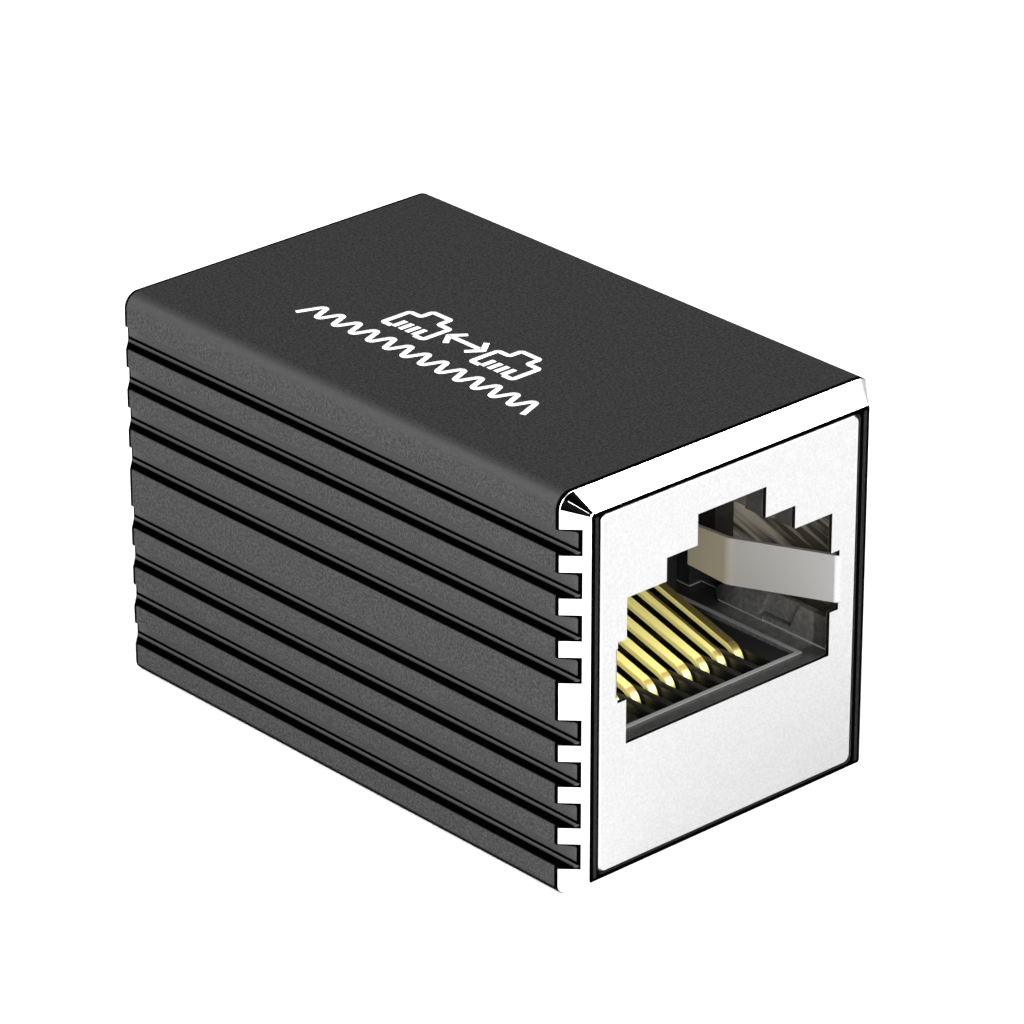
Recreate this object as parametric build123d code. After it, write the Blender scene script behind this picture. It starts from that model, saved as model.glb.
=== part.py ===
from build123d import *
import math
import os

# Inline coupler that joins two shielded eight-way network leads.
# X runs across the ports, Y along the body and Z up. The origin is under the middle of the base.
# The front port faces -Y. The rear jack is the front one turned half a turn about Z.

# Sleeve, a grooved aluminium extrusion with both ends faced and chamfered
sleeve_width = 18.0
sleeve_height = 18.5
sleeve_length = 30.0
sleeve_side_wall = 1.46
sleeve_roof = 1.04
sleeve_floor = 0.76
sleeve_top_radius = 0.75
sleeve_bottom_radius = 0.45
bore_corner_radius = 0.30

# End chamfer, wider at the sides than above and below
chamfer_length = 1.0
chamfer_side = 1.0
chamfer_top = 0.87
chamfer_bottom = 0.62
lip_corner_radius = 0.12

# Grooves, in two groups on each side with a plain band between them
groove_pitch = 1.94
groove_height = 1.05
groove_depth = 0.64
groove_draft = 0.06
groove_root_radius = 0.12
groove_band = 1.84
groove_drop = 0.13
groove_edge_land = 0.25

# Jack shield, folded from one sheet
sheet = 0.20
shield_clearance = 0.04
plate_recess = 0.06
fold_radius = 0.20
shield_gap_at_middle = 0.05

# Port through the face plate: the plug opening, its side notches and the stepped latch keyway
port_width = 11.96
port_height = 6.77
port_floor_below_middle = 2.65
notch_depth = 0.50
notch_height = 2.82
notch_middle_lift = 3.47
keyway_wide = 7.47
keyway_wide_rise = 1.08
keyway_narrow = 3.96
keyway_narrow_rise = 1.43

# Grounding leaf spring, folded in from the face plate at the edge of each notch
leaf_height = 2.23
leaf_root_radius = 0.20
leaf_root_length = 0.50
leaf_reach = 2.28
leaf_run = 4.55
leaf_tail = 2.35
leaf_taper = 0.115
leaf_bend_radius = 0.80

# Moulded jack housing
housing_clearance = 0.05
front_wall = 1.00
back_wall = 1.20
wiring_space = 1.60
rim_wall = 1.20
latch_head_room = 0.20
latch_room_flat = 2.60
latch_slope_drop = 2.00
window_below_notch = 0.50
window_above_notch = 1.40
window_past_leaf = 0.30
cavity_side_play = 0.15

# Plug lead-in on each side wall, with a slanted recess in it
lead_in_depth = 0.12
lead_in_foot = 0.27
lead_in_length = 3.95
lead_in_slant = 0.75
side_recess_depth = 0.12
side_recess_start = 2.38
side_recess_length = 1.80
side_recess_slant = 0.60
side_recess_lift = 0.32
side_slot_depth = 0.45
side_slot_height = 0.12

# Room for the springs: a rebate outside each wall, and a pocket behind its rounded end
sill_width = 0.32
rebate_depth = 0.60
pocket_depth = 0.75
pocket_length = 2.10
nose_radius = 0.45
nose_to_front = 6.40

# Contact pit in the housing floor, with a raised rim round its mouth
ledge_depth = 0.85
pit_side_land = 1.49
pit_rim_width = 0.22
pit_rim_rise = 0.10
pocket_floor_wall = 1.20
carrier_clearance = 0.05

# Contact carrier, a comb that keeps the wires apart
comb_slot_clearance = 0.10
rib_top_below_floor = 0.08
bend_room_wall = 0.25
bend_room_depth = 1.20
bend_room_length = 2.35
comb_over_wire = 0.60
comb_front_overlap = 0.70

# Contact wires
contact_count = 8
contact_pitch = 1.016
wire_width = 0.45
wire_thickness = 0.28
lower_leg_below_floor = 1.71
wire_bend_radius = 0.91
wire_rise_angle = 15.6
wire_reach = 5.62
bend_behind_pit_front = 1.88
row_spacing = 2.00
jog_radius = 0.35
jog_from_board = 0.90
tail_past_board = 0.50

# Circuit board across the middle
board_thickness = 1.60
board_clearance = 0.08
board_side_clearance = 0.10
board_corner_radius = 0.50
board_hole_diameter = 0.80

# Shape of the sleeve section
half_width = sleeve_width / 2
half_length = sleeve_length / 2
bore_half = half_width - sleeve_side_wall
bore_bottom = sleeve_floor
bore_top = sleeve_height - sleeve_roof

# Levels of the shield, outside and inside, and of the housing within it
shield_half = bore_half - shield_clearance
shield_bottom = bore_bottom + shield_clearance
shield_top = bore_top - shield_clearance
can_half = shield_half - sheet
can_bottom = shield_bottom + sheet
can_top = shield_top - sheet
plate_front = -half_length + plate_recess
plate_back = plate_front + sheet
housing_half = can_half - housing_clearance
housing_bottom = can_bottom + housing_clearance
housing_top = can_top - housing_clearance
housing_front_y = plate_back + housing_clearance
board_face = -board_thickness / 2
housing_rim_y = board_face - board_clearance
housing_back_y = housing_rim_y - wiring_space
cavity_back_y = housing_back_y - back_wall

# Levels of the port
port_half = port_width / 2
port_floor = (shield_bottom + shield_top) / 2 - port_floor_below_middle
port_ceiling = port_floor + port_height
notch_half = port_half + notch_depth
notch_middle = port_floor + notch_middle_lift
notch_bottom = notch_middle - notch_height / 2
notch_top = notch_middle + notch_height / 2
keyway_wide_top = port_ceiling + keyway_wide_rise
keyway_narrow_top = keyway_wide_top + keyway_narrow_rise
latch_room_top = keyway_narrow_top + latch_head_room

# Leaf spring: where it folds and where it ends
leaf_inner_x = notch_half - leaf_reach
leaf_corner_x = notch_half + 0.3 * sheet
leaf_fold_y = plate_front + leaf_run
leaf_end_y = leaf_fold_y + leaf_tail

# Side walls of the plug cavity
cavity_half = port_half + cavity_side_play
lead_in_half = cavity_half + lead_in_depth
window_bottom = notch_bottom - window_below_notch
lead_in_foot_z = port_floor + lead_in_foot
nose_y = housing_front_y + nose_to_front
nose_z = port_floor + nose_radius

# Contact pit, carrier and wires
contact_xs = [contact_pitch * (i - (contact_count - 1) / 2) for i in range(contact_count)]
pit_front_y = housing_front_y + ledge_depth
pit_half = contact_xs[-1] + pit_side_land
carrier_half = pit_half - carrier_clearance
carrier_front_y = pit_front_y + carrier_clearance
pocket_floor = housing_bottom + pocket_floor_wall
carrier_bottom = pocket_floor + carrier_clearance
rib_top = port_floor - rib_top_below_floor
slot_width = wire_width + 2 * comb_slot_clearance
lower_leg_z = port_floor - lower_leg_below_floor
slot_floor = lower_leg_z - wire_thickness / 2
rise_cos = math.cos(math.radians(wire_rise_angle))
rise_sin = math.sin(math.radians(wire_rise_angle))
wire_bend_y = pit_front_y + bend_behind_pit_front + wire_bend_radius
wire_bend_z = lower_leg_z + wire_bend_radius
spring_leg_y = wire_bend_y - wire_bend_radius * rise_sin
spring_leg_z = wire_bend_z + wire_bend_radius * rise_cos
wire_end_y = spring_leg_y + wire_reach * rise_cos
wire_end_z = spring_leg_z + wire_reach * rise_sin
comb_front_y = wire_end_y - comb_front_overlap
comb_top = wire_end_z + comb_over_wire


def prism(section, y_from, y_to):
    """An X-Z section run straight along the body."""
    return extrude(Plane.XZ.offset(-y_to) * section, amount=y_to - y_from, dir=(0, -1, 0))


def cross_prism(side_view, half_span):
    """A Y-Z outline run across the body, as far to the left as to the right."""
    return extrude(Plane.YZ * side_view, amount=half_span, both=True)


def block(x_range, y_range, z_range):
    """A plain block between two corners."""
    size = [high - low for low, high in (x_range, y_range, z_range)]
    middle = [(high + low) / 2 for low, high in (x_range, y_range, z_range)]
    return Pos(*middle) * Box(*size)


def upright(width, bottom, top):
    """A rectangle centred across the port, between two heights."""
    return Pos(0, (bottom + top) / 2) * Rectangle(width, top - bottom)


def both_sides(shape):
    """A right-hand feature and its twin on the left."""
    return [shape, mirror(shape, about=Plane.YZ)]


def sleeve_outline(side_inset, top_inset, bottom_inset, top_radius, bottom_radius):
    """Outer section of the sleeve, drawn in from its full size by the insets."""
    outline = upright(sleeve_width - 2 * side_inset, bottom_inset, sleeve_height - top_inset)
    outline = fillet(outline.vertices().group_by(Axis.Y)[-1], top_radius)
    return fillet(outline.vertices().group_by(Axis.Y)[0], bottom_radius)


def groove_heights():
    """Centre heights of the grooves, stepped away from the plain band while the side is flat."""
    middle = sleeve_height / 2 - groove_drop
    low_end = sleeve_bottom_radius + chamfer_bottom + groove_edge_land
    high_end = sleeve_height - sleeve_top_radius - groove_edge_land
    heights = []
    for direction, end in ((1, high_end), (-1, low_end)):
        height = middle + direction * (groove_band + groove_height) / 2
        while direction * (end - height) > groove_height / 2:
            heights.append(height)
            height += direction * groove_pitch
    return heights


def groove_profile():
    """One groove at the right side, its walls drafted and its root corners rounded."""
    mouth = groove_height / 2
    root = mouth - groove_draft
    over = groove_depth * 0.5
    profile = Polygon(
        (half_width + over, mouth + groove_draft / 2),
        (half_width - groove_depth, root),
        (half_width - groove_depth, -root),
        (half_width + over, -mouth - groove_draft / 2),
        align=None,
    )
    return fillet(profile.vertices().group_by(Axis.X)[0], groove_root_radius)


def make_sleeve():
    """The extrusion: outer section, chamfered ends, bore and grooves."""
    full = sleeve_outline(0, 0, 0, sleeve_top_radius, sleeve_bottom_radius)
    lip = sleeve_outline(
        chamfer_side, chamfer_top, chamfer_bottom, lip_corner_radius, lip_corner_radius
    )
    shoulder = half_length - chamfer_length
    body = prism(full, -shoulder, shoulder)
    for end in (-1, 1):
        sections = [Plane.XZ.offset(end * shoulder) * full, Plane.XZ.offset(end * half_length) * lip]
        body += loft(sections, ruled=True)
    bore = upright(2 * bore_half, bore_bottom, bore_top)
    bore = fillet(bore.vertices(), bore_corner_radius)
    body -= prism(bore, -half_length - 1, half_length + 1)
    for height in groove_heights():
        groove = prism(Pos(0, height) * groove_profile(), -half_length - 1, half_length + 1)
        body -= both_sides(groove)
    return body


def keyway_section():
    """The two steps above the plug opening that the latch passes through."""
    wide = upright(keyway_wide, port_ceiling - 0.5, keyway_wide_top)
    narrow = upright(keyway_narrow, port_ceiling, keyway_narrow_top)
    return wide + narrow


def make_leaf():
    """Right-hand leaf spring: a strip folded back from the plate and bent, its free tail tapered."""
    root_y = plate_front + sheet / 2
    path = FilletPolyline(
        (leaf_corner_x + leaf_root_length, root_y),
        (leaf_corner_x, root_y),
        (leaf_inner_x + sheet / 2, leaf_fold_y),
        (leaf_inner_x + sheet / 2, leaf_end_y),
        radius=[leaf_root_radius, leaf_bend_radius],
    )
    start = Plane(origin=path @ 0, x_dir=(0, 0, 1), z_dir=path % 0)
    strip = sweep(start * Rectangle(leaf_height, sheet), path=path)
    side_view = Polygon(
        (plate_front, leaf_height / 2),
        (leaf_fold_y, leaf_height / 2),
        (leaf_end_y, leaf_height / 2 - leaf_taper),
        (leaf_end_y, -leaf_height / 2 + leaf_taper),
        (leaf_fold_y, -leaf_height / 2),
        (plate_front, -leaf_height / 2),
        align=None,
    )
    return Pos(0, 0, notch_middle) * (strip & cross_prism(side_view, shield_half))


def make_shield():
    """The can: face plate, four walls folded back from it, port opening and leaf springs."""
    y_end = -shield_gap_at_middle
    outside = block((-shield_half, shield_half), (plate_front, y_end), (shield_bottom, shield_top))
    outside = fillet(outside.edges().filter_by(Axis.Y), fold_radius + sheet)
    outside = chamfer(outside.faces().sort_by(Axis.Y)[0].edges(), fold_radius / 2)
    inside = block((-can_half, can_half), (plate_back, 1), (can_bottom, can_top))
    inside = fillet(inside.edges().filter_by(Axis.Y), fold_radius)
    opening = upright(port_width, port_floor, port_ceiling) + keyway_section()
    opening += upright(2 * notch_half, notch_bottom, notch_top)
    opening += Pos(0, notch_middle) * Rectangle(2 * leaf_corner_x + leaf_root_length, leaf_height)
    can = outside - inside - prism(opening, plate_front - 1, plate_back + 1)
    return can + both_sides(make_leaf())


def make_lead_in():
    """Right-hand lead-in: the wall set back towards the port, sloped at its foot and slanted behind."""
    start_y = housing_front_y - 1
    rear_y = housing_front_y + lead_in_length
    section = Polygon(
        (port_half, port_floor),
        (cavity_half, port_floor),
        (lead_in_half, lead_in_foot_z),
        (lead_in_half, window_bottom + 1),
        (port_half, window_bottom + 1),
        align=None,
    )
    side_view = Polygon(
        (start_y, port_floor - 1),
        (rear_y, port_floor - 1),
        (rear_y, lead_in_foot_z),
        (rear_y - lead_in_slant, window_bottom),
        (start_y, window_bottom),
        align=None,
    )
    return prism(section, start_y, rear_y + 1) & cross_prism(side_view, housing_half)


def make_side_recess():
    """Right-hand slanted recess in the lead-in, with a deep slot along its foot."""
    front_y = housing_front_y + side_recess_start
    rear_y = front_y + side_recess_length
    foot_z = port_floor + side_recess_lift
    side_view = Polygon(
        (front_y, foot_z),
        (rear_y, foot_z),
        (rear_y - side_recess_slant, window_bottom + 0.1),
        (front_y - side_recess_slant, window_bottom + 0.1),
        align=None,
    )
    reach = lead_in_half + side_recess_depth
    recess = cross_prism(side_view, reach)
    slot = block(
        (port_half, lead_in_half + side_slot_depth), (front_y, rear_y), (foot_z, foot_z + side_slot_height)
    )
    right_half = block((port_half, reach), (front_y - side_recess_slant, rear_y), (foot_z, window_bottom + 1))
    return (recess & right_half) + slot


def make_spring_room():
    """Right-hand room for the leaf: the rebate outside the wall and the pocket behind the wall's nose."""
    rear_y = leaf_end_y + window_past_leaf
    rebate = block(
        (lead_in_half + sill_width, housing_half + 1),
        (housing_front_y - 1, rear_y),
        (window_bottom - rebate_depth, window_bottom + 1),
    )
    pocket = block(
        (port_half, cavity_half + pocket_depth), (nose_y, nose_y + pocket_length), (port_floor, window_bottom + 1)
    )
    nose = Pos(housing_half / 2, nose_y, nose_z) * Rot(0, 90, 0) * Cylinder(nose_radius, housing_half)
    return rebate + (pocket - nose)


def latch_room():
    """Space behind the front wall where the latch springs up, its ceiling falling to the back."""
    wall_back = housing_front_y + front_wall
    flat_end = wall_back + latch_room_flat
    side_view = Polygon(
        (wall_back, port_ceiling - 0.5),
        (wall_back, latch_room_top),
        (flat_end, latch_room_top),
        (cavity_back_y, latch_room_top - latch_slope_drop),
        (cavity_back_y, port_ceiling - 0.5),
        align=None,
    )
    return cross_prism(side_view, keyway_wide / 2)


def make_housing():
    """The moulding that guides the plug, cut for the latch, springs, carrier and wires."""
    body = block(
        (-housing_half, housing_half),
        (housing_front_y, housing_rim_y),
        (housing_bottom, housing_top),
    )
    body = fillet(body.edges().filter_by(Axis.Y), fold_radius)
    cavity = upright(2 * cavity_half, port_floor, port_ceiling)
    body -= prism(cavity, housing_front_y - 1, cavity_back_y)
    body -= prism(keyway_section(), housing_front_y - 1, housing_front_y + front_wall)
    body -= latch_room()

    window = block(
        (port_half - 0.5, housing_half + 1),
        (housing_front_y - 1, leaf_end_y + window_past_leaf),
        (window_bottom, notch_top + window_above_notch),
    )
    for side_cut in (window, make_lead_in(), make_side_recess(), make_spring_room()):
        body -= both_sides(side_cut)

    rim = block(
        (-pit_half - pit_rim_width, pit_half + pit_rim_width),
        (pit_front_y - pit_rim_width, cavity_back_y),
        (port_floor - 0.5, port_floor + pit_rim_rise),
    )
    pit = block(
        (-pit_half, pit_half), (pit_front_y, cavity_back_y), (pocket_floor, port_floor + 1)
    )
    pocket = block(
        (-pit_half, pit_half),
        (pit_front_y, housing_rim_y + 1),
        (pocket_floor, rib_top + carrier_clearance),
    )
    wiring = block(
        (-housing_half + rim_wall, housing_half - rim_wall),
        (housing_back_y, housing_rim_y + 1),
        (pocket_floor, housing_top - rim_wall),
    )
    return body + rim - pit - pocket - wiring


def make_carrier():
    """The comb: a slotted bed for the lower legs and a slotted wall for the wire ends."""
    carrier = block(
        (-carrier_half, carrier_half), (carrier_front_y, housing_back_y), (carrier_bottom, rib_top)
    )
    carrier += block(
        (-carrier_half, carrier_half),
        (comb_front_y, cavity_back_y - carrier_clearance),
        (carrier_bottom, comb_top),
    )
    bend_room_front = carrier_front_y + bend_room_wall
    for x in contact_xs:
        across = (x - slot_width / 2, x + slot_width / 2)
        carrier -= block(across, (carrier_front_y - 1, housing_back_y + 1), (slot_floor, comb_top + 1))
        carrier -= block(
            across,
            (bend_room_front, bend_room_front + bend_room_length),
            (slot_floor - bend_room_depth, slot_floor + 1),
        )
    return carrier


def make_contact(x, lift):
    """One wire: board tail, lower leg, front bend and rising spring leg. A lift jogs the tail."""
    tail_end = (-board_face + tail_past_board, lower_leg_z + lift)
    bend_start = (wire_bend_y, lower_leg_z)
    with BuildLine(Plane.YZ) as path:
        if lift:
            jog_y = board_face - jog_from_board
            corners = [tail_end, (jog_y, lower_leg_z + lift), (jog_y, lower_leg_z), bend_start]
            FilletPolyline(*corners, radius=jog_radius)
        else:
            Line(tail_end, bend_start)
        CenterArc((wire_bend_y, wire_bend_z), wire_bend_radius, -90, -180 + wire_rise_angle)
        Line((spring_leg_y, spring_leg_z), (wire_end_y, wire_end_z))
    start = Plane(origin=(0, *tail_end), x_dir=(1, 0, 0), z_dir=(0, -1, 0))
    wire = sweep(start * Rectangle(wire_width, wire_thickness), path=path.wire())
    return Pos(x, 0, 0) * wire


def make_board():
    """The circuit board, with two staggered rows of plated holes."""
    outline = upright(
        2 * (can_half - board_side_clearance),
        can_bottom + board_side_clearance,
        can_top - board_side_clearance,
    )
    outline = fillet(outline.vertices(), board_corner_radius)
    board = prism(outline, -board_thickness / 2, board_thickness / 2)
    holes = [
        Pos(x, lower_leg_z + lift) * Circle(board_hole_diameter / 2)
        for x in contact_xs
        for lift in (0, row_spacing)
    ]
    return board - [prism(hole, -board_thickness, board_thickness) for hole in holes]


def make_jack():
    """Every piece of the front jack by name."""
    pieces = {
        "shield": make_shield(),
        "housing": make_housing(),
        "contact_carrier": make_carrier(),
    }
    for i, x in enumerate(contact_xs):
        pieces[f"contact_{i + 1}"] = make_contact(x, row_spacing * (i % 2))
    return pieces


def jack_node(name, end):
    """Node name of a jack piece at one end, with a contact's number kept last."""
    if name.startswith("contact_") and name[-1].isdigit():
        return f"contact_{end}_{name.split('_')[-1]}"
    return f"{name}_{end}"


os.makedirs("parts", exist_ok=True)
nodes = {"sleeve": make_sleeve(), "circuit_board": make_board()}
for name, piece in make_jack().items():
    nodes[jack_node(name, "front")] = piece
    nodes[jack_node(name, "rear")] = Rot(0, 0, 180) * piece
for name, shape in nodes.items():
    export_step(shape, f"parts/{name}.step")
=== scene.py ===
import math

import bmesh
import bpy
from mathutils import Matrix, Vector


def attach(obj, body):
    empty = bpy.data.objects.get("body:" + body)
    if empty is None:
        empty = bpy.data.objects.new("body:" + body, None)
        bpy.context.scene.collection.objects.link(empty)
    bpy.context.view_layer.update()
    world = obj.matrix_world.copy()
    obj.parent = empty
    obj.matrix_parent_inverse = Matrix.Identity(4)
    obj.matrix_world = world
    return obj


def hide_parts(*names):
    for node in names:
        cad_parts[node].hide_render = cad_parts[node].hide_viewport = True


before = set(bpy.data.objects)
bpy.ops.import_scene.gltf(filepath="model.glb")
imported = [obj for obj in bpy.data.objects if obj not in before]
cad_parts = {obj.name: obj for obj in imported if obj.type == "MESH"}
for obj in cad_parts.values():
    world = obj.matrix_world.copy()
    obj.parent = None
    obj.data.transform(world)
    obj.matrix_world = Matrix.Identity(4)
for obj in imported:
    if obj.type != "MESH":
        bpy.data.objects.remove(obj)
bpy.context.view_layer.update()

MM = 0.001

# Circuit board. Glass-fibre laminate under green solder mask, with a tinned ring round each hole.
# It is routed to size and drilled, and stands across the middle, held by sixteen soldered tails.


def add_node(tree, kind, inputs=None, **settings):
    """Adds a node, sets its properties, and fills its inputs with values or with other nodes' outputs."""
    node = tree.nodes.new(kind)
    for name, value in settings.items():
        setattr(node, name, value)
    for key, value in (inputs or {}).items():
        if isinstance(value, bpy.types.NodeSocket):
            tree.links.new(value, node.inputs[key])
        else:
            node.inputs[key].default_value = value
    return node


def math_node(tree, operation, a, b=0.0, c=0.0):
    """A Math node's output."""
    return add_node(tree, "ShaderNodeMath", {0: a, 1: b, 2: c}, operation=operation).outputs[0]


def absolute(tree, value):
    """A value without its sign."""
    return math_node(tree, "ABSOLUTE", value)


def product(tree, *shares):
    """Values multiplied together; of shares, 1 only where each of them is 1."""
    result = shares[0]
    for share in shares[1:]:
        result = math_node(tree, "MULTIPLY", result, share)
    return result


def axes_of(tree, point):
    """The X, Y and Z parts of a point or a direction."""
    return add_node(tree, "ShaderNodeSeparateXYZ", {0: point}).outputs


def new_finish(name, **constants):
    """A material with one Principled shader; constants go on the shader's own sockets."""
    finish = bpy.data.materials.new(name)
    finish.use_nodes = True
    tree = finish.node_tree
    tree.nodes.clear()
    shader = add_node(tree, "ShaderNodeBsdfPrincipled")
    for socket, value in constants.items():
        shader.inputs[socket.replace("_", " ")].default_value = value
    add_node(tree, "ShaderNodeOutputMaterial", {"Surface": shader.outputs[0]})
    return finish, tree, shader


def object_point(tree):
    """Object coordinates, in metres from the part's own origin."""
    return add_node(tree, "ShaderNodeTexCoord").outputs["Object"]


def facing_axes(tree, kind="Normal"):
    """The X, Y and Z parts of the direction that the surface faces."""
    return axes_of(tree, add_node(tree, "ShaderNodeNewGeometry").outputs[kind])


def noise(tree, point, grain_mm, detail=2.0, roughness=0.5):
    """Noise whose grains are about grain_mm across."""
    inputs = {"Vector": point, "Scale": 1 / (grain_mm * MM), "Detail": detail, "Roughness": roughness}
    return add_node(tree, "ShaderNodeTexNoise", inputs).outputs[0]


def remap(tree, value, from_low, from_high, to_low, to_high):
    """A value moved from one range to another and held inside it."""
    inputs = {
        "Value": value, "From Min": from_low, "From Max": from_high, "To Min": to_low, "To Max": to_high,
    }
    return add_node(tree, "ShaderNodeMapRange", inputs).outputs[0]


def blend_colours(tree, share, first, second):
    """Two colours mixed by a share from 0 to 1."""
    inputs = {"Factor": share, 6: first, 7: second}
    return add_node(tree, "ShaderNodeMix", inputs, data_type="RGBA").outputs[2]


def raise_bump(tree, shader, height, depth_mm, strength=1.0, below=None):
    """Adds relief of a real depth to a shader's normal, over another relief where one is given."""
    inputs = {"Height": height, "Distance": depth_mm * MM, "Strength": strength}
    if below is not None:
        inputs["Normal"] = below
    normal = add_node(tree, "ShaderNodeBump", inputs).outputs[0]
    tree.links.new(normal, shader.inputs["Normal"])
    return normal


def solder_mask(pitch, half_row, hole_rows, hole_radius, ring_width):
    """Green mask over a faint glass weave, bare tinned rings at the holes, and a fibrous sawn edge."""
    finish, tree, shader = new_finish("board_solder_mask", Coat_Weight=0.2, Coat_Roughness=0.15)
    point = object_point(tree)
    place = axes_of(tree, point)
    across = math_node(tree, "WRAP", place[0], pitch, 0.0)
    across = math_node(tree, "SUBTRACT", across, pitch / 2)
    upward = absolute(tree, math_node(tree, "SUBTRACT", place[2], sum(hole_rows) / 2))
    upward = math_node(tree, "SUBTRACT", upward, (hole_rows[1] - hole_rows[0]) / 2)
    squares = [math_node(tree, "POWER", offset, 2.0) for offset in (across, upward)]
    reach = math_node(tree, "SQRT", math_node(tree, "ADD", *squares))
    in_row = math_node(tree, "LESS_THAN", absolute(tree, place[0]), half_row)
    ring = product(tree, math_node(tree, "LESS_THAN", reach, hole_radius + ring_width), in_row)
    weave = add_node(tree, "ShaderNodeTexWave", {"Vector": point, "Scale": 260.0, "Distortion": 0.6})
    weave = weave.outputs[1]
    mottle = noise(tree, point, 0.8)
    mask = blend_colours(tree, mottle, (0.012, 0.085, 0.035, 1), (0.02, 0.13, 0.055, 1))
    sawn_edge = math_node(tree, "LESS_THAN", absolute(tree, facing_axes(tree)[1]), 0.5)
    fibre = blend_colours(tree, weave, (0.32, 0.27, 0.13, 1), (0.5, 0.44, 0.25, 1))
    colour = blend_colours(tree, sawn_edge, mask, fibre)
    colour = blend_colours(tree, ring, colour, (0.78, 0.76, 0.72, 1))
    tree.links.new(colour, shader.inputs["Base Color"])
    tree.links.new(product(tree, ring, 0.95), shader.inputs["Metallic"])
    tree.links.new(remap(tree, mottle, 0.3, 0.7, 0.32, 0.5), shader.inputs["Roughness"])
    raise_bump(tree, shader, weave, 0.004)
    return finish


contact_pitch = 1.016 * MM
hole_row_half_length = 4 * contact_pitch
board_hole_rows = (4.75 * MM, 6.75 * MM)
board_hole_radius = 0.40 * MM
tinned_ring_width = 0.09 * MM
board_finish = solder_mask(
    contact_pitch, hole_row_half_length, board_hole_rows, board_hole_radius, tinned_ring_width
)
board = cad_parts["circuit_board"]
board.data.materials.clear()
board.data.materials.append(board_finish)

# Contact wires. Eight phosphor-bronze strips at each end, gold over nickel, stamped and folded back
# on themselves at the front; their tails are soldered in two staggered rows of the board.


def new_shape_tree(name, sizes, whole_numbers=()):
    """An empty geometry tree, the modifier's key for each of its named sizes, and its inputs."""
    tree = bpy.data.node_groups.new(name, "GeometryNodeTree")
    tree.interface.new_socket("Geometry", in_out="INPUT", socket_type="NodeSocketGeometry")
    tree.interface.new_socket("Geometry", in_out="OUTPUT", socket_type="NodeSocketGeometry")
    keys = {}
    for label in sizes:
        kind = "NodeSocketInt" if label in whole_numbers else "NodeSocketFloat"
        keys[label] = tree.interface.new_socket(label, in_out="INPUT", socket_type=kind).identifier
    return tree, keys, add_node(tree, "NodeGroupInput").outputs


def run_tree(tree, keys, sizes, start_mesh, name):
    """Runs a geometry tree on a start mesh and returns the result as a plain mesh object."""
    maker = bpy.data.objects.new(name + "_maker", start_mesh)
    bpy.context.scene.collection.objects.link(maker)
    modifier = maker.modifiers.new("shape", "NODES")
    modifier.node_group = tree
    for label, value in sizes.items():
        modifier[keys[label]] = value
    graph = bpy.context.evaluated_depsgraph_get()
    mesh = bpy.data.meshes.new_from_object(maker.evaluated_get(graph), depsgraph=graph)
    bpy.data.objects.remove(maker)
    mesh.name = name
    piece = bpy.data.objects.new(name, mesh)
    bpy.context.scene.collection.objects.link(piece)
    return piece


def smooth_to_angle(piece, degrees):
    """Smooth shading over edges flatter than the angle, led by the larger faces so that flats stay flat."""
    mesh = piece.data
    for face in mesh.polygons:
        face.use_smooth = True
    mesh.set_sharp_from_angle(angle=math.radians(degrees))
    shape = bmesh.new()
    shape.from_mesh(mesh)
    area = {face: face.calc_area() for face in shape.faces}
    normal_at = {}
    for corner in shape.verts:
        left = list(corner.link_faces)
        while left:
            fan = [left.pop()]
            for face in fan:
                for edge in face.edges:
                    if edge.smooth and corner in edge.verts:
                        joined = [other for other in edge.link_faces if other in left]
                        fan += joined
                        left = [other for other in left if other not in joined]
            normal = sum((face.normal * area[face] for face in fan), Vector()).normalized()
            for face in fan:
                normal_at[face, corner] = normal
    normals = [normal_at[face, corner] for face in shape.faces for corner in face.verts]
    shape.free()
    mesh.normals_split_custom_set(normals)


def polyline_mesh(name, lines, radii):
    """Open polylines as edges, with the radius of each corner kept as an attribute."""
    mesh = bpy.data.meshes.new(name)
    points, edges, corner_radii = [], [], []
    for line, line_radii in zip(lines, radii):
        first = len(points)
        points += line
        corner_radii += line_radii
        edges += [(first + i, first + i + 1) for i in range(len(line) - 1)]
    mesh.from_pydata(points, edges, [])
    mesh.attributes.new("corner_radius", "FLOAT", "POINT").data.foreach_set("value", corner_radii)
    return mesh


def rectangle(tree, width, height):
    """A closed curve, its width along X and its height along Y."""
    inputs = {"Width": width, "Height": height}
    return add_node(tree, "GeometryNodeCurvePrimitiveQuadrilateral", inputs, mode="RECTANGLE").outputs[0]


def round_corners(tree, curve, radius, segments):
    """A curve whose corners are rounded to a radius, each in a number of short straight pieces."""
    inputs = {"Curve": curve, "Count": segments, "Radius": radius}
    return add_node(tree, "GeometryNodeFilletCurve", inputs, mode="POLY").outputs[0]


def strip_on_lines(tree, lines, section, segments, thin_way):
    """Rounds the corners of each line of a start mesh and runs a section along it, closed at its ends."""
    line = add_node(tree, "GeometryNodeMeshToCurve", {"Mesh": lines}).outputs[0]
    radius = add_node(tree, "GeometryNodeInputNamedAttribute", {"Name": "corner_radius"}, data_type="FLOAT")
    line = round_corners(tree, line, radius.outputs[0], segments)
    line = add_node(tree, "GeometryNodeSetCurveNormal", {"Curve": line, "Normal": thin_way}, mode="FREE")
    inputs = {"Curve": line.outputs[0], "Profile Curve": section, "Fill Caps": True}
    return add_node(tree, "GeometryNodeCurveToMesh", inputs).outputs[0]


def points_in_row(tree, axis, count, start, step):
    """A row of points along one axis: how many, where the first stands, and how far apart they are."""
    inputs = {
        "Count": count,
        "Start Location": add_node(tree, "ShaderNodeCombineXYZ", {axis: start}).outputs[0],
        "Offset": add_node(tree, "ShaderNodeCombineXYZ", {axis: step}).outputs[0],
    }
    return add_node(tree, "GeometryNodeMeshLine", inputs, mode="OFFSET").outputs[0]


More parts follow.
